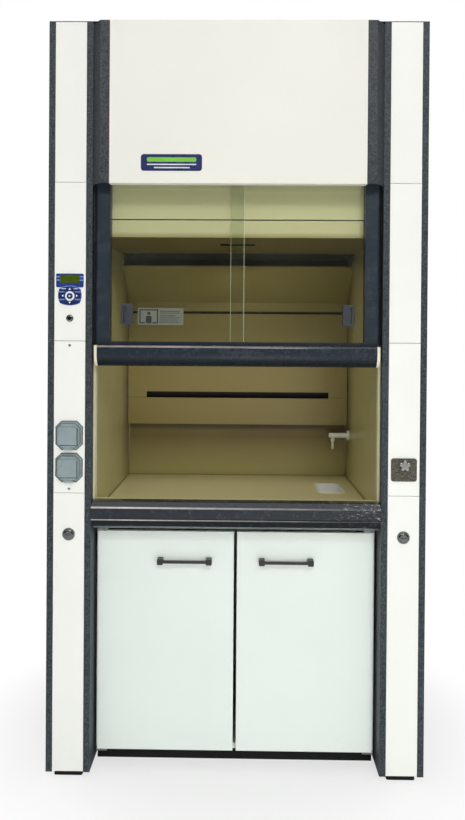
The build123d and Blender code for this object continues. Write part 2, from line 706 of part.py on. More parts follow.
# ------------------------------------------------------------ counterbalance
BELT_OUT = BELT_IN + BELT_W
RUN_FRONT = BELT_Y - PITCH_R
RUN_REAR = BELT_Y + PITCH_R


def belt_loop(radius, mode):
    """Racetrack round the two pulleys, in the open sketch."""
    with Locations((BELT_Y, (SHAFT_Z + IDLER_Z) / 2)):
        Rectangle(2 * radius, SHAFT_Z - IDLER_Z, mode=mode)
    with Locations((BELT_Y, SHAFT_Z), (BELT_Y, IDLER_Z)):
        Circle(radius, mode=mode)


with BuildPart() as drive_belts:
    for x in (-BELT_OUT, BELT_IN):
        with BuildSketch(side_plane(x)):
            belt_loop(PITCH_R + BELT_T / 2, Mode.ADD)
            belt_loop(PITCH_R - BELT_T / 2, Mode.SUBTRACT)
        extrude(amount=BELT_W)
save(drive_belts, "drive_belts")


def pulley(side, level, bore):
    """Flanged belt pulley on one side, in the open part."""
    x0 = side * (BELT_IN - 1)
    x1 = side * (BELT_OUT + 1)
    rod("X", x0, x1, (BELT_Y, level), PITCH_R - BELT_T / 2 - RUN)
    rod("X", x0 - side * 1.5, x0, (BELT_Y, level), PITCH_R + 4)
    rod("X", x1, x1 + side * 1.5, (BELT_Y, level), PITCH_R + 4)
    rod("X", x0 - side * 3, x1 + side * 3, (BELT_Y, level), bore, mode=Mode.SUBTRACT)


with BuildPart() as drive_pulleys:
    for side in SIDES:
        pulley(side, SHAFT_Z, SHAFT_R)
save(drive_pulleys, "drive_pulleys")

with BuildPart() as idler_pulleys:
    for side in SIDES:
        pulley(side, IDLER_Z, AXLE_R + RUN)
save(idler_pulleys, "idler_pulleys")

with BuildPart() as drive_shaft:
    rod("X", -490, 490, (BELT_Y, SHAFT_Z), SHAFT_R)
    chamfer(drive_shaft.edges().filter_by(GeomType.CIRCLE), 1)
save(drive_shaft, "drive_shaft")

# flanged bushes for the cross shaft, and fixed axles for the idlers
with BuildPart() as belt_bearings:
    for side in SIDES:
        rod("X", side * (POST_IN - 3), side * (POST_IN + STEEL), (BELT_Y, SHAFT_Z), 16)
        rod("X", side * (POST_IN + STEEL), side * (POST_IN + 5), (BELT_Y, SHAFT_Z), 22)
        rod("X", side * (POST_IN - 4), side * (POST_IN + 6), (BELT_Y, SHAFT_Z), SHAFT_R + RUN,
            mode=Mode.SUBTRACT)
        rod("X", side * (POST_IN + STEEL), side * (POST_IN + 5), (BELT_Y, IDLER_Z), 16)
        rod("X", side * (POST_IN + 5), side * 492, (BELT_Y, IDLER_Z), AXLE_R)
save(belt_bearings, "belt_bearings")

with BuildPart() as belt_brackets:
    z0 = BRACKET_Z - 20
    z1 = BRACKET_Z + 20
    for side in SIDES:
        arm_end = side * (BELT_OUT + 6)
        block(side * SASH_HALF, arm_end, SASH_FRONT + 2, RUN_FRONT - 4, z0, z1)
        block(side * (BELT_IN - 1), arm_end, RUN_FRONT - 4, RUN_FRONT - 2, z0, z1)
        block(side * (BELT_OUT + 1), arm_end, RUN_FRONT - 4, RUN_FRONT + 6, z0, z1)
        block(side * (BELT_IN - 1), arm_end, RUN_FRONT + 2, RUN_FRONT + 6, z0, z1)
save(belt_brackets, "belt_brackets")

with BuildPart() as counterweights:
    z0 = WEIGHT_LOW + WEIGHT_H / 2 - 20
    z1 = z0 + 40
    for side in SIDES:
        block(side * 500, side * 585, -318, -274, WEIGHT_LOW, WEIGHT_LOW + WEIGHT_H)
        block(side * (BELT_OUT + 1), side * 500, RUN_REAR - 8, RUN_REAR + 8, z0, z1)
        for jaw in (RUN_REAR - 8, RUN_REAR + 2):
            block(side * (BELT_IN - 1), side * (BELT_OUT + 1), jaw, jaw + 6, z0, z1)
save(counterweights, "counterweights")


# ------------------------------------------------------------ socket outlets
SOCKET_OUT = 16.0
LID_T = 9.0


def octagon(width, height, cut):
    """Rectangle with cut corners centred on the sketch origin, in the open sketch."""
    half_w = width / 2
    half_h = height / 2
    Polygon(
        (half_w, half_h - cut), (half_w - cut, half_h), (cut - half_w, half_h),
        (-half_w, half_h - cut), (-half_w, cut - half_h), (cut - half_w, -half_h),
        (half_w - cut, -half_h), (half_w, cut - half_h), align=None,
    )


def make_socket_base(level):
    """Octagonal socket housing with a sloping skirt, a back box and a contact well."""
    face = front_plane(-POST_MID, POST_FRONT, level)
    with BuildPart() as base:
        with BuildSketch(face):
            octagon(SOCKET_W, 90, 18)
        extrude(amount=SOCKET_OUT - 4, taper=14)
        with BuildSketch(face):
            Rectangle(60, 60)
        extrude(amount=-34)
        with BuildSketch(face.offset(SOCKET_OUT - 4)):
            Circle(21)
        extrude(amount=-28, mode=Mode.SUBTRACT)
        with BuildSketch(face.offset(SOCKET_OUT - 32)):
            with Locations((-9.5, 0), (9.5, 0)):
                Circle(2.4)
        extrude(amount=-12, mode=Mode.SUBTRACT)
    return base


with BuildPart() as socket_bases:
    for level in SOCKET_LEVELS.values():
        add(make_socket_base(level).part)
save(socket_bases, "socket_bases")


def make_socket_lid(level):
    """Hinged lid: octagonal flap with a raised square face and a finger tab below."""
    seat = front_plane(-POST_MID, POST_FRONT - SOCKET_OUT + 4, level)
    with BuildPart() as lid:
        with BuildSketch(seat):
            octagon(74, 78, 15)
        extrude(amount=LID_T, taper=20)
        with BuildSketch(seat.offset(LID_T)):
            Rectangle(58, 58)
        extrude(amount=5, taper=12)
        with BuildSketch(seat):
            with Locations((0, -41)):
                RectangleRounded(30, 10, 3)
        extrude(amount=3)
    return lid


for name, level in SOCKET_LEVELS.items():
    save(make_socket_lid(level), f"socket_lid_{name}")


# ------------------------------------------------------------ controller
PANEL_FACE = POST_FRONT - 1.5
BEZEL_T = 3.0
KEY_GAP = 0.3
KEY_OUT = 1.0
POD_HALF = 37.0
RING_R = 16.0
panel = front_plane(-POST_MID, PANEL_FACE, KEY_MID)

with BuildPart() as controller_housing:
    block(-POST_MID - 48, -POST_MID + 48, PANEL_FACE, POST_FRONT, PANEL_LOW, PANEL_HIGH)
    fillet(controller_housing.edges().filter_by(Axis.Y), 3)
    block(-POST_MID - 35, -POST_MID + 35, POST_FRONT, POST_FRONT + 30, PANEL_LOW + 10, PANEL_HIGH - 10)
save(controller_housing, "controller_housing")


def pod_outline():
    """Keypad outline with bulging sides and a rounded bottom, in the open sketch."""
    with BuildLine() as pod:
        bottom = ThreePointArc((-31, -22), (0, -29), (31, -22))
        right = ThreePointArc(bottom @ 1, (POD_HALF, 0), (34, 20))
        top = ThreePointArc(right @ 1, (0, 32), (-34, 20))
        ThreePointArc(top @ 1, (-POD_HALF, 0), bottom @ 0)
    make_face(pod.edges())


KEYS = {
    "up": (-60, 60, 15, 40),
    "down": (-60, 60, -40, -13),
    "left": (-60, 0, -9, 11),
    "right": (0, 60, -9, 11),
    "enter": (-9, 9, -9, 9),
}


def key_sketch(name, grow, level):
    """Outline of one key, enlarged by `grow`, at a height above the panel."""
    x0, x1, low, high = KEYS[name]
    with BuildSketch(panel.offset(level)) as outline:
        if name == "enter":
            Circle(x1 + grow)
        else:
            pod_outline()
            scale(by=(POD_HALF - 2 + grow) / POD_HALF)
            rect(x0, x1, low - grow, high + grow, mode=Mode.INTERSECT)
            Circle(RING_R - grow, mode=Mode.SUBTRACT)
    return outline.sketch


with BuildPart() as controller_bezel:
    with BuildSketch(panel):
        with Locations((0, 49.5)):
            RectangleRounded(87, 43, 4)
        pod_outline()
    extrude(amount=BEZEL_T)
    with BuildSketch(panel):
        with Locations((0, 54)):
            Rectangle(62, 26)
    extrude(amount=BEZEL_T, mode=Mode.SUBTRACT)
    for name in KEYS:
        extrude(key_sketch(name, KEY_GAP, 0), amount=BEZEL_T, mode=Mode.SUBTRACT)
save(controller_bezel, "controller_bezel")

with BuildPart() as controller_screen:
    with BuildSketch(panel):
        with Locations((0, 54)):
            Rectangle(61, 25)
    extrude(amount=1.5)
save(controller_screen, "controller_screen")

for name in KEYS:
    with BuildPart() as key:
        extrude(key_sketch(name, 0, BEZEL_T - 1.5), amount=1.5 + KEY_OUT)
    save(key, f"key_{name}")


# ------------------------------------------------------------ button, latches, valve
with BuildPart() as chrome_rings:
    for x, level, bore, rim in (
        (-POST_MID, BUTTON_Z, BUTTON_R, 11.5),
        (-POST_MID, LATCH_Z, LATCH_R, 20),
        (POST_MID, LATCH_Z, LATCH_R, 20),
    ):
        rod("Y", POST_FRONT - 4, POST_FRONT, (x, level), rim)
        rod("Y", POST_FRONT - 5, POST_FRONT + 1, (x, level), bore + RUN, mode=Mode.SUBTRACT)
    outer_rims = chrome_rings.edges().filter_by(GeomType.CIRCLE).group_by(Axis.Y)[0]
    fillet(outer_rims.filter_by(lambda e: e.radius in (11.5, 20)), 1.5)
save(chrome_rings, "chrome_rings")

with BuildPart() as alarm_button:
    rod("Y", POST_FRONT - 8, POST_FRONT + 8, (-POST_MID, BUTTON_Z), BUTTON_R)
    fillet(alarm_button.faces().sort_by(Axis.Y)[0].edges(), 3)
save(alarm_button, "alarm_button")


def make_latch(side):
    """Quarter-turn lock: domed head, spindle through the cover and a tongue behind the flange."""
    with BuildPart() as latch:
        at = (side * POST_MID, LATCH_Z)
        rod("Y", POST_FRONT - 9, POST_FRONT, at, LATCH_R)
        fillet(latch.faces().sort_by(Axis.Y)[0].edges(), 7)
        block(at[0] - 9, at[0] + 9, POST_FRONT - 10, POST_FRONT - 6, LATCH_Z - 1.5, LATCH_Z + 1.5,
              mode=Mode.SUBTRACT)
        rod("Y", POST_FRONT, POST_FRONT + 16, at, 8)
        block(at[0], at[0] + side * 46, POST_FRONT + SEAT_DROP + STEEL + 1,
              POST_FRONT + SEAT_DROP + STEEL + 4, LATCH_Z - 8, LATCH_Z + 8)
    return latch


for side, name in ((-1, "left"), (1, "right")):
    save(make_latch(side), f"latch_{name}")

with BuildPart() as valve_plate:
    block(POST_MID - 40.5, POST_MID + 40.5, POST_FRONT - 3, POST_FRONT, VALVE_Z - 36.5, VALVE_Z + 36.5)
    fillet(valve_plate.edges().filter_by(Axis.Y), 8)
    rod("Y", POST_FRONT - 4, POST_FRONT + 1, (POST_MID, KNOB_Z), STEM_R + RUN, mode=Mode.SUBTRACT)
save(valve_plate, "valve_plate")

with BuildPart() as valve_knob:
    knob = front_plane(POST_MID, POST_FRONT - 4, KNOB_Z)
    with BuildSketch(knob):
        Circle(12)
        with PolarLocations(11.5, 5, start_angle=90):
            Circle(6)
    extrude(amount=18)
    fillet(valve_knob.faces().sort_by(Axis.Y)[0].edges(), 2.5)
    rod("Y", POST_FRONT - 4, POST_FRONT + 22, (POST_MID, KNOB_Z), STEM_R)
save(valve_knob, "valve_knob")
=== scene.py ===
import math

import bmesh
import bpy
from mathutils import Matrix, Vector


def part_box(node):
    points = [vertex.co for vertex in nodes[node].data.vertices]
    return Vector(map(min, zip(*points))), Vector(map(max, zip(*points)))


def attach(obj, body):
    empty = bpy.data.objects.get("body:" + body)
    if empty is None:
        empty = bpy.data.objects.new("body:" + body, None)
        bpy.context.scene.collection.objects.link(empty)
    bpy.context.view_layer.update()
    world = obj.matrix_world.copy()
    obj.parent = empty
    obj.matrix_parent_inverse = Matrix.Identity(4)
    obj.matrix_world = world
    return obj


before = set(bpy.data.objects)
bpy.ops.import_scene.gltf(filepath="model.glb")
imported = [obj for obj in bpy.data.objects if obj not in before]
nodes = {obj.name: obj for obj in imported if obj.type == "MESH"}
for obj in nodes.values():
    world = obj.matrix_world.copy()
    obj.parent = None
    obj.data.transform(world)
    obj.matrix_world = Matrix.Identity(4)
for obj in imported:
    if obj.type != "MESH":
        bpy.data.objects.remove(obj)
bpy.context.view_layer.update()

MM = 0.001


# ---------------------------------------------------------------- places read from the frame
LEFT, FRONT, LOW, RIGHT, BACK, HIGH = range(6)


def edge(name, side):
    """Where one side of a CAD node's box stands at rest, in millimetres."""
    low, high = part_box(name)
    return round((*low, *high)[side] / MM, 2)


def middle(name, one_side, other_side):
    return (edge(name, one_side) + edge(name, other_side)) / 2


LIP_HEIGHT = 40.0
WORK_TOP = edge("worktop", HIGH) - LIP_HEIGHT
CHAMBER_HALF = edge("worktop", RIGHT)
CHAMBER_BACK = edge("worktop", BACK)
LINER_HALF = edge("liner_boards", RIGHT)
LINER_FRONT = edge("liner_boards", FRONT)
CEILING_TOP = edge("exhaust_cone", LOW)
BAFFLE_LOW = edge("baffles", LOW)
BAFFLE_BACK = edge("baffles", BACK)
BAR_TOP = edge("sash_handle", HIGH)
AIRFOIL_TOP = edge("front_airfoil", HIGH)
SOCKET_X = middle("socket_lid_upper", LEFT, RIGHT)
PANEL_X = middle("key_enter", LEFT, RIGHT)
KEY_Z = middle("key_enter", LOW, HIGH)

# places in the chamber painted near-black as painted shadow, each as (left, right), (front, back),
# (low, high)
CEILING_SLOT = ((-61.5, 61.5), (-196.5, -143.5), (CEILING_TOP - 10.5, CEILING_TOP + 5))
BAFFLE_SLOT = ((-373.8, 373.8), (BAFFLE_BACK - 8, BAFFLE_BACK + 2),
               (BAFFLE_LOW + 108, BAFFLE_LOW + 133.3))
BAFFLE_GAP = ((-LINER_HALF, LINER_HALF), (BAFFLE_BACK - 18, BAFFLE_BACK + 12),
              (BAFFLE_LOW + 453.8, BAFFLE_LOW + 464))
BEHIND_BAFFLE = ((-LINER_HALF, LINER_HALF), (CHAMBER_BACK - 3, CHAMBER_BACK + 25),
                 (BAFFLE_LOW + 44, CEILING_TOP + 65))


# ---------------------------------------------------------------- node helpers
class Shader:
    """Node tree of one material or world, built by adding nodes and linking sockets."""

    def __init__(self, owner, output="ShaderNodeOutputMaterial"):
        owner.use_nodes = True
        self.owner = owner
        self.tree = owner.node_tree
        self.tree.nodes.clear()
        self.output = self.tree.nodes.new(output)
        self.coordinates = self.tree.nodes.new("ShaderNodeTexCoord").outputs
        self.place = self.coordinates["Object"]
        self.facing = self.coordinates["Normal"]

    def put(self, value, socket):
        if isinstance(value, bpy.types.NodeSocket):
            self.tree.links.new(value, socket)
        else:
            socket.default_value = value

    def node(self, kind, settings=None, **inputs):
        """A node with its settings, and with inputs named with _ for a space."""
        made = self.tree.nodes.new(kind)
        for key, value in (settings or {}).items():
            setattr(made, key, value)
        for key, value in inputs.items():
            self.put(value, made.inputs[key.replace("_", " ")])
        return made

    def noise(self, scale, detail=3.0, roughness=0.55, at=None):
        made = self.node("ShaderNodeTexNoise", Vector=at or self.place, Scale=scale,
                         Detail=detail, Roughness=roughness)
        return made.outputs["Fac"]

    def ramp(self, value, low, high, out_low=0.0, out_high=1.0):
        made = self.node("ShaderNodeMapRange", {"clamp": True}, Value=value, From_Min=low,
                         From_Max=high, To_Min=out_low, To_Max=out_high)
        return made.outputs["Result"]

    def math(self, operation, a, b=0.0):
        made = self.node("ShaderNodeMath", {"operation": operation})
        self.put(a, made.inputs[0])
        self.put(b, made.inputs[1])
        return made.outputs[0]

    def times(self, a, b):
        return self.math("MULTIPLY", a, b)

    def mix(self, factor, a, b):
        """Colour a at factor 0, b at 1; inputs 6 and 7 are the mix node's colour sockets."""
        made = self.node("ShaderNodeMix", {"data_type": "RGBA"})
        self.put(factor, made.inputs[0])
        self.put(a, made.inputs[6])
        self.put(b, made.inputs[7])
        return made.outputs[2]

    def blend(self, factor, a, b):
        """Shader a at factor 0, b at 1."""
        made = self.node("ShaderNodeMixShader", Fac=factor)
        self.put(a, made.inputs[1])
        self.put(b, made.inputs[2])
        return made.outputs[0]

    def axis(self, letter, of=None):
        """One coordinate at rest in metres, or one component of another vector."""
        return self.node("ShaderNodeSeparateXYZ", Vector=of or self.place).outputs[letter]

    def normal_axis(self, letter):
        """Component of the surface normal at rest."""
        return self.axis(letter, self.facing)

    def along(self, letter, low, high, out_low=0.0, out_high=1.0):
        """Ramp over a rest coordinate, from low to high in millimetres."""
        return self.ramp(self.axis(letter), low * MM, high * MM, out_low, out_high)

    def between(self, letter, low, high, soft):
        """One where a rest coordinate is from low to high millimetres, with soft shoulders."""
        value = self.axis(letter)
        rise = self.ramp(value, (low - soft) * MM, (low + soft) * MM)
        fall = self.ramp(value, (high - soft) * MM, (high + soft) * MM, 1.0, 0.0)
        return self.times(rise, fall)

    def stretched(self, sx, sy, sz):
        mapping = self.node("ShaderNodeMapping", Vector=self.place, Scale=(sx, sy, sz))
        return mapping.outputs["Vector"]

    def bump(self, height, strength, distance=0.001):
        made = self.node("ShaderNodeBump", Height=height, Strength=strength, Distance=distance)
        return made.outputs["Normal"]

    def surface(self, color, rough, normal=None, metal=0.0, coat=0.0, specular=0.5):
        made = self.node("ShaderNodeBsdfPrincipled", Base_Color=color, Roughness=rough,
                         Metallic=metal, Coat_Weight=coat, Specular_IOR_Level=specular)
        if normal is not None:
            self.put(normal, made.inputs["Normal"])
        return made.outputs["BSDF"]

    def emission(self, kind, color, strength):
        """A glowing shader: an Emission node on a surface, a Background node in a world."""
        return self.node(kind, Color=color, Strength=strength).outputs[0]

    def done(self, shader):
        self.put(shader, self.output.inputs["Surface"])
        return self.owner


def new_shader(name):
    return Shader(bpy.data.materials.new(name))


def rgb(red, green, blue):
    """Display colour, 0 to 255, as linear RGBA."""
    def linear(channel):
        c = channel / 255
        return c / 12.92 if c <= 0.04045 else ((c + 0.055) / 1.055) ** 2.4
    return (linear(red), linear(green), linear(blue), 1.0)


def dim(color, factor):
    return (*(channel * factor for channel in color[:3]), 1.0)


# ---------------------------------------------------------------- materials
def powder_coat(name, color, rough, peel=0.12, grain=450.0, wear=0.06):
    """Baked powder coat: orange peel, slow colour drift, fine speckle and faint smudges."""
    s = new_shader(name)
    drift = s.noise(2.3, 2.0)
    tone = s.mix(s.ramp(drift, 0.3, 0.7), dim(color, 1 - wear), color)
    speck = s.ramp(s.noise(grain * 1.7, 2.0), 0.35, 0.65)
    tone = s.mix(s.times(speck, wear), tone, dim(color, 0.6))
    smudge = s.ramp(s.noise(6.0, 5.0, 0.65), 0.45, 0.75, rough, min(1.0, rough + 0.15))
    normal = s.bump(s.noise(grain, 2.0), peel, 0.0006)
    return s.done(s.surface(tone, smudge, normal))


def hammered_coat(name, color, rough, sparkle=0.5):
    """Dark textured coat: coarse hammer grain with light flecks and rubbed spots."""
    s = new_shader(name)
    grain = s.noise(170.0, 4.0, 0.65)
    flecks = s.ramp(s.noise(185.0, 3.0, 0.8), 0.56, 0.63)
    tone = s.mix(s.ramp(grain, 0.40, 0.60), dim(color, 0.38), dim(color, 1.5))
    tone = s.mix(s.times(flecks, sparkle), tone, dim(color, 4.8))
    rubbed = s.ramp(s.noise(3.5, 6.0, 0.7), 0.56, 0.72)
    tone = s.mix(s.times(rubbed, 0.12), tone, dim(color, 1.9))
    normal = s.bump(grain, 0.65, 0.0014)
    return s.done(s.surface(tone, s.ramp(grain, 0.3, 0.7, rough, rough + 0.18), normal))


def liner_board(name, low_color, mid_color, high_color, rear_colors=(), shade_boxes=()):
    """Pressed polypropylene board: satin sheen, pressing haze, wipe marks and a few dark specks.

    The low, mid and high colours are the board's tones at the worktop, halfway up and above
    the ceiling: painted light and shade, with painted shade halfway up where the header shades
    the walls. The two rear colours are its tone near the worktop and its darker tone higher up,
    towards the exhaust slot at the back: painted shade on the back board and on faces turned
    down. The shade boxes are painted shadow in slots, gaps and what lies behind them.
    """
    s = new_shader(name)
    # painted light and shade: tone by height, darker halfway up
    tone = s.mix(s.along("Z", WORK_TOP, WORK_TOP + 460), low_color, mid_color)
    tone = s.mix(s.along("Z", CEILING_TOP - 5, CEILING_TOP + 10), tone, high_color)
    if rear_colors:
        near, rear_shade = rear_colors
        rear = s.mix(s.along("Z", WORK_TOP + 20, WORK_TOP + 160), near, rear_shade)
        # painted shadow: a darker band on the back board around the lower edge of the baffle
        under_baffle = s.between("Z", BAFFLE_LOW - 16, BAFFLE_LOW + 194, 12)
        rear = s.mix(under_baffle, rear, dim(rear_shade, 0.30))
        # painted shade: the rear tone also goes on faces turned down and towards the back
        down = s.ramp(s.normal_axis("Z"), -0.3, -0.7)
        shaded_rear = s.math("MAXIMUM", s.along("Y", CHAMBER_BACK - 225, CHAMBER_BACK - 5), down)
        tone = s.mix(shaded_rear, tone, rear)
    haze = s.ramp(s.noise(1.6, 3.0, 0.5), 0.3, 0.7)
    tone = s.mix(s.times(haze, 0.06), tone, dim(high_color, 1.2))
    wipes = s.ramp(s.noise(7.0, 5.0, 0.6), 0.45, 0.8)
    tone = s.mix(s.times(wipes, 0.04), tone, dim(low_color, 0.6))
    specks = s.ramp(s.noise(160.0, 2.0), 0.74, 0.8)
    tone = s.mix(s.times(specks, 0.3), tone, dim(low_color, 0.5))
    # painted shadow: near-black inside each shade box
    for across, deep, up in shade_boxes:
        inside = s.times(s.between("X", *across, 0.3), s.between("Y", *deep, 0.5))
        inside = s.times(inside, s.between("Z", *up, 0.3))
        tone = s.mix(inside, tone, dim(low_color, 0.012))
    rough = s.ramp(wipes, 0.0, 1.0, 0.32, 0.38)
    normal = s.bump(s.noise(260.0, 2.0), 0.03, 0.0004)
    return s.done(s.surface(tone, rough, normal))


def moulded_plastic(name, color, rough):
    """Moulded plastic: fine spark-eroded grain, slight flow variation and shine on worn spots."""
    s = new_shader(name)
    flow = s.ramp(s.noise(14.0, 3.0), 0.3, 0.7)
    tone = s.mix(flow, dim(color, 0.9), dim(color, 1.06))
    worn = s.ramp(s.noise(35.0, 5.0, 0.7), 0.5, 0.75, rough, max(0.08, rough - 0.12))
    normal = s.bump(s.noise(900.0, 2.0), 0.10, 0.0004)
    return s.done(s.surface(tone, worn, normal))


def bright_metal(name, color, rough, along=(1.0, 1.0, 1.0), grain=500.0, tarnish=0.2):
    """Bare or plated metal: directional tool marks, tarnish patches and fine scratches."""
    s = new_shader(name)
    marks = s.noise(grain, 3.0, 0.6, s.stretched(*along))
    patches = s.ramp(s.noise(28.0, 5.0, 0.65), 0.45, 0.75)
    tone = s.mix(s.times(patches, tarnish), color, dim(color, 0.45))
    uneven = s.ramp(marks, 0.3, 0.7, rough, rough + 0.1)
    normal = s.bump(marks, 0.04, 0.0004)
    return s.done(s.surface(tone, uneven, normal, metal=1.0))


def painted_profile(name, color, rough, worn, gloss, highlight_bands=(), highlight_color=None):
    """Dark lacquered profile: fine drawn lines, dust, scratches, painted shade on faces turned down
    and painted highlight bands.

    Each highlight band is (low, high, strength), in millimetres above the floor: a painted highlight
    along a bend, which fades towards the right, where the scratches and nicks are.
    """
    s = new_shader(name)
    lines = s.noise(60.0, 3.0, 0.6, s.stretched(0.6, 12.0, 12.0))
    tone = s.mix(s.ramp(lines, 0.3, 0.7), dim(color, 0.86), dim(color, 1.14))
    dust = s.ramp(s.noise(26.0, 8.0, 0.75), 0.52, 0.72)
    tone = s.mix(s.times(dust, 0.07), tone, rgb(150, 148, 146))
    scratch = s.ramp(s.noise(34.0, 7.0, 0.8, s.stretched(1.0, 3.0, 9.0)), 0.62, 0.68)
    handled = s.along("X", 50, 420, worn * 0.3, worn)
    tone = s.mix(s.times(scratch, handled), tone, rgb(205, 204, 200))
    nicks = s.ramp(s.noise(70.0, 6.0, 0.8, s.stretched(1.0, 1.5, 2.5)), 0.575, 0.62)
    nicked = s.along("X", 270, 400, 0.0, worn)
    tone = s.mix(s.times(nicks, nicked), tone, rgb(215, 214, 208))
    fading = s.along("X", -300, 340, 1.0, 0.12)
    # painted shade: faces turned down are darker and less glossy
    shade = s.ramp(s.normal_axis("Z"), -0.55, 0.1, 0.25, 1.0)
    tone = s.mix(shade, dim(color, 0.3), tone)
    # painted highlights: bright bands along the bends, broken up along their length
    broken = s.ramp(s.noise(9.0, 6.0, 0.7, s.stretched(1.0, 0.2, 0.2)), 0.36, 0.60, 0.6, 1.0)
    for low, high, strength in highlight_bands:
        amount = s.times(s.times(s.between("Z", low, high, 0.8), fading), strength)
        tone = s.mix(s.times(amount, broken), tone, highlight_color)
    uneven = s.ramp(dust, 0.0, 1.0, rough, rough + 0.28)
    normal = s.bump(s.noise(380.0, 3.0), 0.06, 0.0004)
    return s.done(s.surface(tone, uneven, normal, coat=s.times(shade, gloss),
                            specular=s.times(shade, 0.4)))


def side_facing(s, limit):
    """One where the surface at rest faces left or right by more than the limit."""
    return s.math("GREATER_THAN", s.math("ABSOLUTE", s.normal_axis("X")), limit)


def pane_glass(name):
    """Float glass: clear sheet with faint dust, and cut edges painted pale green as a painted glow
    of light in the glass.
    """
    s = new_shader(name)
    clear = s.node("ShaderNodeBsdfTransparent", Color=rgb(252, 253, 250)).outputs[0]
    shine = s.node("ShaderNodeBsdfAnisotropic", Color=(1, 1, 1, 1), Roughness=0.03).outputs[0]
    film = s.node("ShaderNodeBsdfDiffuse", Color=rgb(205, 215, 190)).outputs[0]
    # painted highlight: pale green glow on the side faces
    edge_glow = s.node("ShaderNodeBsdfDiffuse", Color=rgb(222, 232, 206)).outputs[0]
    sheet = s.blend(s.node("ShaderNodeFresnel", IOR=1.38).outputs[0], clear, shine)
    dust = s.ramp(s.noise(5.0, 7.0, 0.7), 0.35, 0.8, 0.002, 0.018)
    dusty = s.blend(dust, sheet, film)
    return s.done(s.blend(s.times(side_facing(s, 0.3), 0.85), dusty, edge_glow))


def laminate(name, face_color, core_color=None):
    """Melamine-faced board: pale pebbled face, brown chipboard where a raw side edge shows."""
    s = new_shader(name)
    pebble = s.noise(520.0, 3.0)
    drift = s.ramp(s.noise(1.7, 3.0), 0.3, 0.7)
    tone = s.mix(drift, dim(face_color, 0.95), face_color)
    scuff = s.ramp(s.noise(11.0, 8.0, 0.75), 0.62, 0.74)
    tone = s.mix(s.times(scuff, 0.10), tone, dim(face_color, 0.6))
    if core_color:
        grit = s.ramp(s.noise(260.0, 4.0), 0.3, 0.7)
        chips = s.mix(grit, dim(core_color, 0.6), dim(core_color, 1.3))
        crumbs = s.ramp(s.noise(20.0, 4.0), 0.4, 0.6, 0.55, 0.95)
        tone = s.mix(s.times(side_facing(s, 0.85), crumbs), tone, chips)
    return s.done(s.surface(tone, 0.38, s.bump(pebble, 0.05, 0.0004)))


def shaded_guide(name, strip_color, shade_color):
    """Plastic guide strip, pale beside the opening, painted streaky near-black from there upwards as
    painted shade of the sash frame.
    """
    s = new_shader(name)
    flow = s.ramp(s.noise(14.0, 3.0), 0.3, 0.7)
    strip = s.mix(flow, dim(strip_color, 0.93), strip_color)
    # painted shade: streaky near-black above the top of the sash bar
    streaks = s.noise(90.0, 4.0, 0.7, s.stretched(8.0, 8.0, 0.6))
    painted_shade = s.mix(s.ramp(streaks, 0.35, 0.65), dim(shade_color, 0.5), dim(shade_color, 1.5))
    shaded_above = s.along("Z", BAR_TOP - 2, BAR_TOP + 1)
    tone = s.mix(shaded_above, strip, painted_shade)
    rough = s.ramp(shaded_above, 0.0, 1.0, 0.4, 0.8)
    return s.done(s.surface(tone, rough, s.bump(streaks, 0.08, 0.0006)))


WHITE = rgb(252, 254, 247)
ANTHRACITE = rgb(49, 57, 62)
SLATE = rgb(44, 54, 64)
WORKTOP_CREAM = rgb(226, 218, 168)

coat_white = powder_coat("white_powder_coat", WHITE, 0.42, 0.05, 420.0, 0.03)
coat_header = powder_coat("header_powder_coat", rgb(245, 244, 234), 0.42, 0.05, 420.0, 0.03)
handle_coat = powder_coat("handle_coat", rgb(52, 47, 50), 0.34, 0.08, 600.0, 0.2)
iron = powder_coat("cast_iron", rgb(64, 62, 60), 0.62, 0.4, 180.0, 0.25)

coat_dark = hammered_coat("anthracite_hammer_coat", ANTHRACITE, 0.42)
coat_trim = hammered_coat("trim_hammer_coat", rgb(50, 55, 60), 0.40, 0.35)
bronze = hammered_coat("bronze_plate_coat", rgb(84, 80, 70), 0.45, 0.08)

sash_coat = painted_profile("sash_profile", SLATE, 0.30, 0.06, 0.15)
# the bar's band is a painted highlight along its top edge
bar_coat = painted_profile("sash_bar_profile", dim(SLATE, 0.85), 0.26, 0.10, 0.3,
                           [(BAR_TOP - 7, BAR_TOP - 1.5, 0.55)], rgb(226, 205, 196))
# the airfoil's two bands are painted highlights along its upper and lower bends
airfoil_coat = painted_profile("airfoil_profile", dim(SLATE, 0.6), 0.20, 0.75, 0.4,
                               [(AIRFOIL_TOP - 20.4, AIRFOIL_TOP - 16.0, 1.0),
                                (AIRFOIL_TOP - 58.6, AIRFOIL_TOP - 55.4, 1.0)],
                               rgb(232, 226, 220))

board_liner = liner_board("polypropylene_liner", rgb(206, 200, 150), rgb(170, 163, 116),
                          rgb(214, 211, 169), (rgb(178, 168, 110), rgb(106, 90, 46)),
                          (CEILING_SLOT, BEHIND_BAFFLE))
board_work = liner_board("polypropylene_worktop", WORKTOP_CREAM, WORKTOP_CREAM, WORKTOP_CREAM)
# baffle tones darker than the liner's: painted shade; its boxes are painted shadow in the slot and
# gap
board_baffle = liner_board("polypropylene_baffle", rgb(126, 110, 62), rgb(134, 121, 72),
                           rgb(136, 124, 76), shade_boxes=(BAFFLE_SLOT, BAFFLE_GAP))

board_white = moulded_plastic("polypropylene_white", rgb(228, 231, 218), 0.40)
board_grey = moulded_plastic("polypropylene_grey", rgb(120, 122, 112), 0.45)
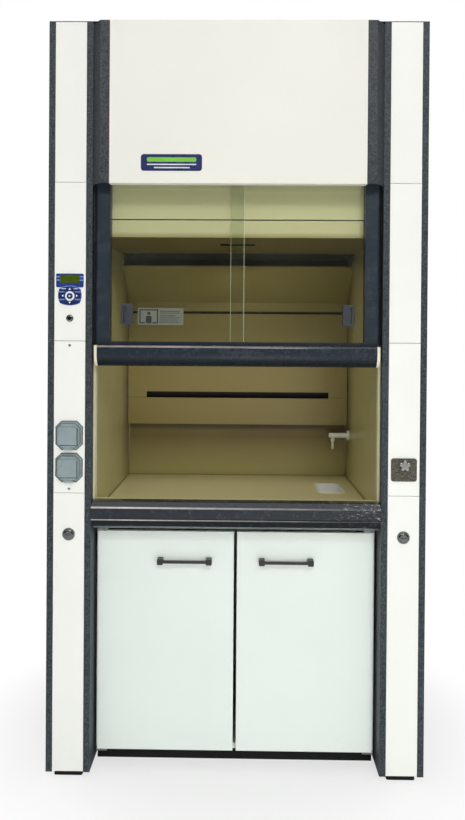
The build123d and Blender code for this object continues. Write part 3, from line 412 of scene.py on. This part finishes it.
# cone colour darkened as painted shade for the gap under the ceiling
board_cone = moulded_plastic("polypropylene_cone", rgb(60, 58, 50), 0.55)
cup_white = moulded_plastic("cup_white", rgb(250, 251, 248), 0.32)
cap_cream = moulded_plastic("cream_cap_plastic", rgb(240, 236, 214), 0.30)
black = moulded_plastic("black_plastic", rgb(14, 14, 15), 0.75)
pull_plastic = moulded_plastic("pull_plastic", rgb(60, 65, 71), 0.34)
socket_plastic = moulded_plastic("socket_plastic", rgb(148, 163, 166), 0.30)
bezel_plastic = moulded_plastic("bezel_plastic", rgb(40, 62, 126), 0.28)
key_plastic = moulded_plastic("key_plastic", rgb(30, 46, 102), 0.28)
screen_glass = moulded_plastic("screen_glass", rgb(74, 94, 14), 0.18)
rubber = moulded_plastic("belt_rubber", rgb(26, 26, 26), 0.7)
pulley_plastic = moulded_plastic("pulley_plastic", rgb(54, 54, 58), 0.42)

chrome = bright_metal("chrome_plate", rgb(150, 152, 150), 0.06, grain=300.0, tarnish=0.45)
knob_metal = bright_metal("polished_knob", rgb(210, 210, 206), 0.10, grain=300.0, tarnish=0.3)
latch_metal = bright_metal("latch_metal", rgb(128, 130, 130), 0.10, grain=300.0, tarnish=0.6)
steel = bright_metal("turned_steel", rgb(170, 172, 172), 0.28, (1.0, 8.0, 8.0))
zinc = bright_metal("galvanised_steel", rgb(160, 164, 166), 0.45, grain=120.0, tarnish=0.35)

# the second colour is painted shade
guide_strip = shaded_guide("guide_strip", rgb(214, 210, 176), rgb(26, 28, 32))
glass = pane_glass("pane_glass")
door_board = laminate("door_laminate", rgb(240, 249, 242), rgb(112, 86, 58))
carcass_board = laminate("carcass_laminate", rgb(236, 243, 236))

FINISHES = (
    (coat_dark, ("post_frame_left", "post_frame_right", "outer_panels")),
    (coat_trim, ("header_trims",)),
    (coat_header, ("header_panel",)),
    (coat_white, ("post_covers", "control_cover", "socket_cover", "valve_cover",
                  "controller_housing")),
    (handle_coat, ("handle_left", "handle_right")),
    (sash_coat, ("sash_frame",)),
    (bar_coat, ("sash_handle",)),
    (airfoil_coat, ("front_airfoil",)),
    (board_liner, ("liner_boards",)),
    (board_work, ("worktop",)),
    (board_baffle, ("baffles",)),
    (board_grey, ("baffle_brackets",)),
    (board_cone, ("exhaust_cone",)),
    (board_white, ("spout_arm", "hose_nozzle")),
    (cup_white, ("drip_cup",)),
    (cap_cream, ("sash_end_caps",)),
    (carcass_board, ("cabinet_boards",)),
    (door_board, ("door_left", "door_right")),
    (glass, ("pane_left", "pane_right")),
    (pull_plastic, ("pull_left", "pull_right")),
    (guide_strip, ("sash_guides",)),
    (rubber, ("drive_belts",)),
    (pulley_plastic, ("drive_pulleys", "idler_pulleys")),
    (black, ("levelling_feet", "kick_plate")),
    (iron, ("counterweights",)),
    (zinc, ("frame_rails", "belt_brackets")),
    (steel, ("cover_screws", "door_hinges", "drive_shaft", "belt_bearings")),
    (socket_plastic, ("socket_bases", "socket_lid_upper", "socket_lid_lower")),
    (bezel_plastic, ("controller_bezel",)),
    (screen_glass, ("controller_screen",)),
    (key_plastic, ("key_up", "key_down", "key_left", "key_right", "key_enter")),
    (chrome, ("chrome_rings", "alarm_button")),
    (latch_metal, ("latch_left", "latch_right")),
    (bronze, ("valve_plate",)),
    (knob_metal, ("valve_knob",)),
)
for material, names in FINISHES:
    for name in names:
        mesh = nodes[name].data
        mesh.materials.clear()
        mesh.materials.append(material)


# ---------------------------------------------------------------- soft edges on the CAD nodes
SOFT_EDGES = {
    "pane_left": (2.2, 1), "pane_right": (2.2, 1),
    "sash_handle": (0.8, 2), "front_airfoil": (0.6, 2),
    "door_left": (0.8, 2), "door_right": (0.8, 2),
}


def soften(name, width, segments):
    """Small rounded edges on a CAD node, by modifiers only."""
    piece = nodes[name]
    weld = piece.modifiers.new("weld", "WELD")
    weld.merge_threshold = 0.02 * MM
    bevel = piece.modifiers.new("edges", "BEVEL")
    bevel.width = width * MM
    bevel.segments = segments
    bevel.limit_method = "ANGLE"
    bevel.angle_limit = math.radians(40)
    bevel.use_clamp_overlap = True
    bevel.harden_normals = False


for name, (width, segments) in SOFT_EDGES.items():
    soften(name, width, segments)


# ---------------------------------------------------------------- outlines, as (x, z) in millimetres
BAR_ROUNDING = 0.3


def rounded(x0, x1, z0, z1, radius, steps=4):
    """Rounded rectangle, counter-clockwise seen from the front."""
    corners = ((x1 - radius, z1 - radius, 0), (x0 + radius, z1 - radius, 90),
               (x0 + radius, z0 + radius, 180), (x1 - radius, z0 + radius, 270))
    outline = []
    for cx, cz, start in corners:
        for k in range(steps + 1):
            angle = math.radians(start + 90 * k / steps)
            outline.append((cx + radius * math.cos(angle), cz + radius * math.sin(angle)))
    return outline


def bar(x0, x1, z0, z1):
    """Bar with slightly rounded corners, its sides in either order."""
    x0, x1 = sorted((x0, x1))
    return rounded(x0, x1, z0, z1, min(x1 - x0, z1 - z0) * BAR_ROUNDING, 2)


def arc_band(cx, cz, inner, outer, start, end, steps):
    """Outlines of the short plates that make a curved band."""
    def at(radius, k):
        angle = math.radians(start + (end - start) * k / steps)
        return (cx + radius * math.cos(angle), cz + radius * math.sin(angle))
    return [[at(outer, k), at(outer, k + 1), at(inner, k + 1), at(inner, k)]
            for k in range(steps)]


def octagon(width, height, cut, x, z):
    """Rectangle with cut corners round a centre."""
    half_w, half_h = width / 2, height / 2
    ring = ((half_w, half_h - cut), (half_w - cut, half_h), (cut - half_w, half_h),
            (-half_w, half_h - cut), (-half_w, cut - half_h), (cut - half_w, -half_h),
            (half_w - cut, -half_h), (half_w, cut - half_h))
    return [(x + px, z + pz) for px, pz in ring]


def octagon_band(inner, outer, x, z):
    """Eight plates that make an octagonal ring between two (width, height, cut) octagons."""
    low, high = octagon(*inner, x, z), octagon(*outer, x, z)
    return [[high[k - 1], high[k], low[k], low[k - 1]] for k in range(len(low))]


def shifted(outlines, x, z):
    return [[(x + px, z + pz) for px, pz in outline] for outline in outlines]


# ---------------------------------------------------------------- added small pieces
def prism(mesh, outline, back, front, chamfer=0.0):
    """Flat plate that faces the user, with its front edges chamfered, into an open bmesh."""
    count = len(outline)
    mid_x = sum(x for x, _ in outline) / count
    mid_z = sum(z for _, z in outline) / count
    rings = []
    for y, inset in ((back, 0.0), (front + chamfer, 0.0), (front, chamfer)):
        ring = []
        for x, z in outline:
            reach = math.hypot(x - mid_x, z - mid_z) or 1.0
            pull = 1 - inset / reach
            place = (mid_x + (x - mid_x) * pull, y, mid_z + (z - mid_z) * pull)
            ring.append(mesh.verts.new(Vector(place) * MM))
        rings.append(ring)
    for low, high in zip(rings, rings[1:]):
        for k in range(count):
            n = (k + 1) % count
            mesh.faces.new((low[k], low[n], high[n], high[k]))
    mesh.faces.new(rings[0][::-1])
    mesh.faces.new(rings[-1])


def add_piece(name, outlines, back, front, material, body, chamfer=0.0):
    """One mesh of flat plates that rides a body of the part."""
    mesh = bmesh.new()
    for outline in outlines:
        prism(mesh, outline, back, front, chamfer)
    bmesh.ops.recalc_face_normals(mesh, faces=mesh.faces)
    data = bpy.data.meshes.new(name)
    mesh.to_mesh(data)
    mesh.free()
    data.materials.append(material)
    piece = bpy.data.objects.new(name, data)
    bpy.context.scene.collection.objects.link(piece)
    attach(piece, body)


def add_print(name, outlines, face, thickness, material, body):
    """Thin print or film on a face."""
    add_piece(name, outlines, face, face - thickness, material, body)


def add_badge():
    """Plain identification plate on the header, without lettering."""
    navy = moulded_plastic("badge_navy", rgb(22, 34, 96), 0.30)
    green = moulded_plastic("badge_green", rgb(120, 200, 60), 0.40)
    pale = moulded_plastic("badge_pale", rgb(222, 228, 226), 0.40)
    thickness = 1.2
    width, height = 191.0, 52.0
    header_face = edge("header_panel", FRONT)
    corner = (edge("header_panel", LEFT) + 99, edge("header_panel", LOW) + 38)
    plate = shifted([rounded(0, width, 0, height, 9.0)], *corner)
    band = shifted([bar(19, width - 18, 28, 42)], *corner)
    lines = shifted([bar(19, width - 18, 18, 22), bar(41, width - 38, 8, 12)], *corner)
    face = header_face - thickness
    add_piece("header_badge", plate, header_face, face, navy, "hood", 0.4)
    add_print("header_badge_band", band, face, 0.3, green, "hood")
    add_print("header_badge_lines", lines, face, 0.3, pale, "hood")


def add_pane_film():
    """Silvered film on the left pane, with a plain framed figure and lines."""
    silver = bright_metal("film_silver", rgb(150, 156, 138), 0.42, grain=240.0, tarnish=0.25)
    ink = moulded_plastic("film_ink", rgb(44, 48, 50), 0.45)
    width, height = 146.0, 54.0
    thickness = 0.3
    pane_face = edge("pane_left", FRONT)
    corner = (edge("pane_left", LEFT) + 97, edge("pane_left", LOW) + 64.5)
    frame_bars = [bar(5, 65, 46, 50), bar(5, 9, 9, 50), bar(61, 65, 9, 50),
                  bar(5, 23, 5, 9), bar(47, 65, 5, 9)]
    figure = [rounded(26, 44, 5, 29, 4), rounded(30, 40, 32, 42, 4.5)]
    line_ends = ((43, 135), (37, 135), (29, 121), (22, 135), (15, 127), (8, 131))
    lines = [bar(70, right, z, z + 2) for z, right in line_ends]
    film = shifted([rounded(0, width, 0, height, 2.5)], *corner)
    marks = shifted(frame_bars + figure + lines, *corner)
    add_print("pane_film", film, pane_face, thickness, silver, "left_pane")
    add_print("pane_film_marks", marks, pane_face - thickness, 0.2, ink, "left_pane")


def add_socket_shades():
    """Painted shadow: dark strips along the right and lower sides of each lid's raised square, and
    dark rings round its base, for the shade in the gaps.
    """
    shade_dark = moulded_plastic("painted_shade_socket", rgb(30, 38, 40), 0.5)
    cover_face = edge("socket_cover", FRONT)
    base_face = edge("socket_bases", FRONT)
    near, far = 28.6, 30.8
    for name in ("upper", "lower"):
        level = edge(f"socket_lid_{name}", LOW) + 46
        # painted shadow at the right and lower sides of the raised square
        painted_shade = [bar(SOCKET_X + near, SOCKET_X + far, level - 29, level + 25),
                bar(SOCKET_X - 27, SOCKET_X + 29, level - far, level - near)]
        # painted shade in the gaps round the base and the cover
        rim_shade = octagon_band((83.0, 89.0, 17.6), (87.0, 93.0, 19.0), SOCKET_X, level)
        base_shade = octagon_band((73.0, 77.0, 14.6), (75.6, 79.6, 15.6), SOCKET_X, level)
        add_piece(f"socket_lid_shade_{name}", painted_shade, base_face - 2, base_face - 9.3, shade_dark,
                  f"{name}_lid")
        add_print(f"socket_rim_shade_{name}", rim_shade, cover_face, 1.6, shade_dark, "hood")
        add_print(f"socket_base_shade_{name}", base_shade, base_face, 0.8, shade_dark, "hood")


def add_controller_print():
    """Stripes and a ring on the bezel, bars on the screen and a plain mark on each key."""
    blue = moulded_plastic("print_blue", rgb(126, 150, 220), 0.35)
    white = moulded_plastic("print_white", rgb(236, 240, 240), 0.35)
    lcd_ink = moulded_plastic("lcd_ink", rgb(52, 62, 14), 0.30)
    bezel_face = edge("controller_bezel", FRONT)
    stripes = []
    for side in (-1, 1):
        for reach, low, high in (((31.5, 43.0), 59, 63), ((31.5, 43.0), 48.5, 52.5),
                                 ((16.5, 36.0), 11.4, 14.6), ((16.5, 36.0), -12.6, -9.4)):
            stripes.append(bar(side * reach[0], side * reach[1], low, high))
    stripes += arc_band(0, -26, 57.2, 59.2, 54, 126, 12)
    ring = arc_band(0, 0, 9.6, 15.2, 0, 360, 32)
    screen_bars = [bar(-25 + 10 * k, -18 + 10 * k, 57, 59) for k in range(5)]
    screen_bars.append(bar(-25, 8, 49, 51))
    key_marks = {
        "up": [[(-4, 20), (4, 20), (0, 26)], bar(-26, -12, 22, 24), bar(12, 26, 22, 24)],
        "down": [[(0, -24), (4, -18), (-4, -18)]],
        "left": [[(-26, 1), (-20, -3), (-20, 5)]],
        "right": [[(26, 1), (20, 5), (20, -3)]],
        "enter": [[(-3, -4), (4, 0), (-3, 4)]],
    }
    centre = (PANEL_X, KEY_Z)
    add_print("controller_stripes", shifted(stripes, *centre), bezel_face, 0.2, blue, "hood")
    add_print("controller_ring", shifted(ring, *centre), bezel_face, 0.3, white, "hood")
    add_print("controller_screen_bars", shifted(screen_bars, *centre),
              edge("controller_screen", FRONT), 0.1, lcd_ink, "hood")
    for name, mark in key_marks.items():
        add_print(f"key_{name}_mark", shifted(mark, *centre), edge(f"key_{name}", FRONT), 0.15,
                  white, f"{name}_key")


def add_weld_beads():
    """Extruded weld beads where the liner boards and the worktop meet."""
    bead_color = moulded_plastic("weld_bead", rgb(150, 140, 98), 0.35)
    bead = 4.5
    bead_front = LINER_FRONT + 2
    rear = CHAMBER_BACK - bead
    for name, side in (("left", -1), ("right", 1)):
        wall = side * CHAMBER_HALF
        profile = [(wall - side * bead * across, WORK_TOP + bead * up) for across, up in
                   ((0, 0), (1, 0), (0.8, 0.45), (0.45, 0.8), (0, 1))]
        corner = bar(wall, wall - side * bead, WORK_TOP, BAFFLE_LOW)
        add_piece(f"weld_bead_{name}", [profile], CHAMBER_BACK, bead_front, bead_color, "hood")
        add_piece(f"corner_bead_{name}", [corner], CHAMBER_BACK, rear, bead_color, "hood", 1.0)
    across = bar(-CHAMBER_HALF, CHAMBER_HALF, WORK_TOP, WORK_TOP + bead)
    add_piece("weld_bead_rear", [across], CHAMBER_BACK, rear, bead_color, "hood", 1.0)


add_badge()
add_pane_film()
add_socket_shades()
add_controller_print()
add_weld_beads()


# ---------------------------------------------------------------- stage, in metres
FLOOR_SIZE = 60.0
FADE_START = 0.50
FADE_END = 1.00
FLOOR_GLOW = 0.60
AMBIENT = 0.22
MIRRORED_LOW, MIRRORED_HIGH = 0.03, 0.55
PURE_WHITE = (1, 1, 1, 1)
SKY = (0.97, 0.99, 1.0, 1)
WARM = (1.0, 0.98, 0.92)
STRIP_WARM = (1.0, 0.95, 0.92)

CAMERA_AT = (0.0138, -2.9034, 1.3664)
CAMERA_YAW = math.radians(0.90)
CAMERA_PITCH = math.radians(-0.384)
CAMERA_ROLL = math.radians(0.401)
CAMERA_LENS = 34.53
CAMERA_SENSOR = 36.0
CAMERA_SHIFT = (0.00465, -0.0682)


def make_floor():
    """Plain pale floor that fades into the white background away from the part."""
    bpy.ops.mesh.primitive_plane_add(size=FLOOR_SIZE, location=(0, 0, 0))
    floor = bpy.context.object
    floor.name = "studio_floor"
    s = new_shader("studio_floor")
    tone = s.mix(s.ramp(s.noise(0.8, 3.0), 0.3, 0.7), rgb(247, 247, 246), rgb(252, 252, 251))
    white = s.emission("ShaderNodeEmission", PURE_WHITE, 1.0)
    away = s.node("ShaderNodeVectorMath", {"operation": "LENGTH"})
    s.put(s.place, away.inputs[0])
    fade = s.ramp(away.outputs["Value"], FADE_START, FADE_END, FLOOR_GLOW, 1.0)
    camera_ray = s.node("ShaderNodeLightPath").outputs["Is Camera Ray"]
    floor.data.materials.append(
        s.done(s.blend(s.times(fade, camera_ray), s.surface(tone, 0.75), white)))


def make_world():
    """White to the camera, soft light on the part, darker level band in reflections."""
    world = bpy.data.worlds.new("studio")
    bpy.context.scene.world = world
    s = Shader(world, "ShaderNodeOutputWorld")
    ray = s.node("ShaderNodeLightPath").outputs
    height = s.math("ABSOLUTE", s.axis("Z", s.coordinates["Generated"]))
    seen = s.emission("ShaderNodeBackground", PURE_WHITE, 1.0)
    lit = s.emission("ShaderNodeBackground", SKY, AMBIENT)
    mirrored = s.emission("ShaderNodeBackground", SKY,
                          s.ramp(height, 0.25, 0.75, MIRRORED_LOW, MIRRORED_HIGH))
    softened = s.blend(ray["Is Glossy Ray"], lit, mirrored)
    s.done(s.blend(ray["Is Camera Ray"], softened, seen))


def area_light(name, place, aim, size, energy, color=(1, 1, 1), glossy=True):
    """Rectangular light; one that isn't glossy doesn't show in reflections."""
    data = bpy.data.lights.new(name, "AREA")
    data.shape = "RECTANGLE"
    data.size, data.size_y = size
    data.energy = energy
    data.color = color
    light = bpy.data.objects.new(name, data)
    bpy.context.scene.collection.objects.link(light)
    light.location = place
    light.visible_glossy = glossy
    light.rotation_euler = (Vector(aim) - Vector(place)).to_track_quat("-Z", "Y").to_euler()


def make_camera():
    data = bpy.data.cameras.new("camera")
    data.lens = CAMERA_LENS
    data.sensor_width = CAMERA_SENSOR
    data.shift_x, data.shift_y = CAMERA_SHIFT
    camera = bpy.data.objects.new("camera", data)
    bpy.context.scene.collection.objects.link(camera)
    turn = (
        Matrix.Rotation(CAMERA_YAW, 4, "Z")
        @ Matrix.Rotation(math.pi / 2 + CAMERA_PITCH, 4, "X")
        @ Matrix.Rotation(CAMERA_ROLL, 4, "Z")
    )
    camera.matrix_world = Matrix.Translation(CAMERA_AT) @ turn
    bpy.context.scene.camera = camera


make_floor()
make_world()
make_camera()
area_light("key", (1.7, -8.6, 6.4), (0, -0.4, 1.2), (2.4, 2.4), 200)
area_light("fill", (0.5, -3.6, 0.7), (0, -0.3, 0.4), (1.8, 1.0), 37, glossy=False)
area_light("overhead", (0.0, -1.2, 4.6), (0, -0.2, 1.0), (3.0, 2.0), 12)
area_light("chamber", (-0.12, -0.15, 1.68), (-0.05, -0.2, 0.84), (0.7, 0.3), 1.3, WARM,
           glossy=False)
area_light("rear_left", (-4.2, 3.6, 3.0), (0, 0, 1.2), (2.0, 2.0), 95)
area_light("rear_right", (4.4, 2.6, 2.6), (0, 0, 1.2), (2.0, 2.0), 70)
area_light("strip", (-0.5, -3.4, 3.4), (0, -0.4, 1.0), (2.4, 0.22), 14, STRIP_WARM)
bpy.context.scene.view_settings.view_transform = "Standard"
